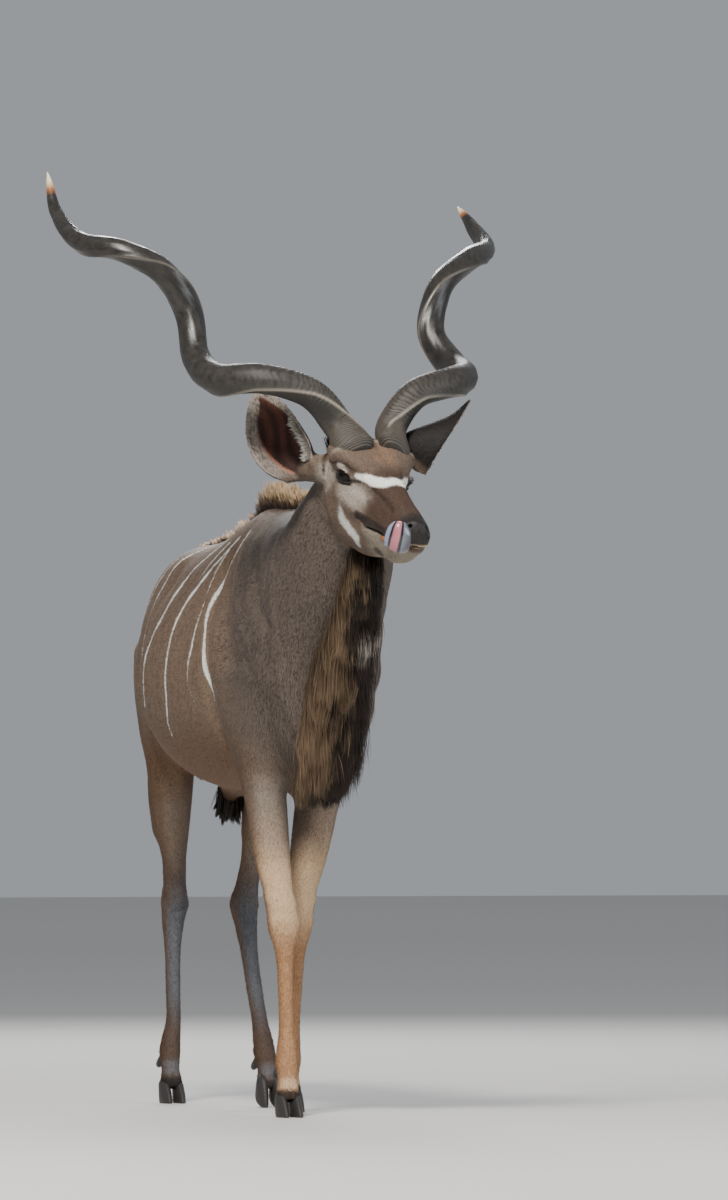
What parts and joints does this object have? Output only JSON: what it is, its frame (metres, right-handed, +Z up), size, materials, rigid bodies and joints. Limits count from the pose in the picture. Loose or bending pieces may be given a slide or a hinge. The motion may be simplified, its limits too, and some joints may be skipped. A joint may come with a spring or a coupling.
{
  "type": "greater kudu bull",
  "caption": "Life-size greater kudu bull, walking, head up with spiral horns, throat fringe and mane, tongue curled over the lip.",
  "frame": {"origin": "on the floor under the middle of the whole animal's box", "axes": "+Z up, -Y the way the animal faces, +X its left side"},
  "size_m": [1.1064, 1.9806, 2.17],
  "materials": {
    "coat": "short flat grey-brown fur with thin white stripes",
    "hair": "long coarse tan, brown and black hair",
    "horn": "dark ringed keratin, worn smooth on the keel",
    "hoof": "dull dark keratin",
    "eye": "wet and glossy",
    "tongue": "wet, grey-pink with dark edges"
  },
  "bodies": {
    "root": {"dewclaw_fore_left_inner": "hoof", "dewclaw_fore_left_outer": "hoof", "dewclaw_fore_right_inner": "hoof", "dewclaw_fore_right_outer": "hoof", "dewclaw_hind_left_inner": "hoof", "dewclaw_hind_left_outer": "hoof", "dewclaw_hind_right_inner": "hoof", "dewclaw_hind_right_outer": "hoof", "ear_left": "coat", "ear_right": "coat", "eye_left": "eye", "eye_right": "eye", "foreleg_left_cannon": "coat", "foreleg_left_forearm": "coat", "foreleg_right_cannon": "coat", "foreleg_right_forearm": "coat", "head": "coat", "hindleg_left_cannon": "coat", "hindleg_left_gaskin": "coat", "hindleg_right_cannon": "coat", "hindleg_right_gaskin": "coat", "hoof_fore_left_inner": "hoof", "hoof_fore_left_outer": "hoof", "hoof_fore_right_inner": "hoof", "hoof_fore_right_outer": "hoof", "hoof_hind_left_inner": "hoof", "hoof_hind_left_outer": "hoof", "hoof_hind_right_inner": "hoof", "hoof_hind_right_outer": "hoof", "horn_left": "horn", "horn_right": "horn", "nape_mane": "hair", "neck": "coat", "scrotum": "coat", "sheath_tuft": "hair", "spine_crest": "hair", "tail": "coat", "tail_tuft": "hair", "throat_fringe": "hair", "tongue": "tongue", "trunk": "coat"}
  },
  "joints": []
}
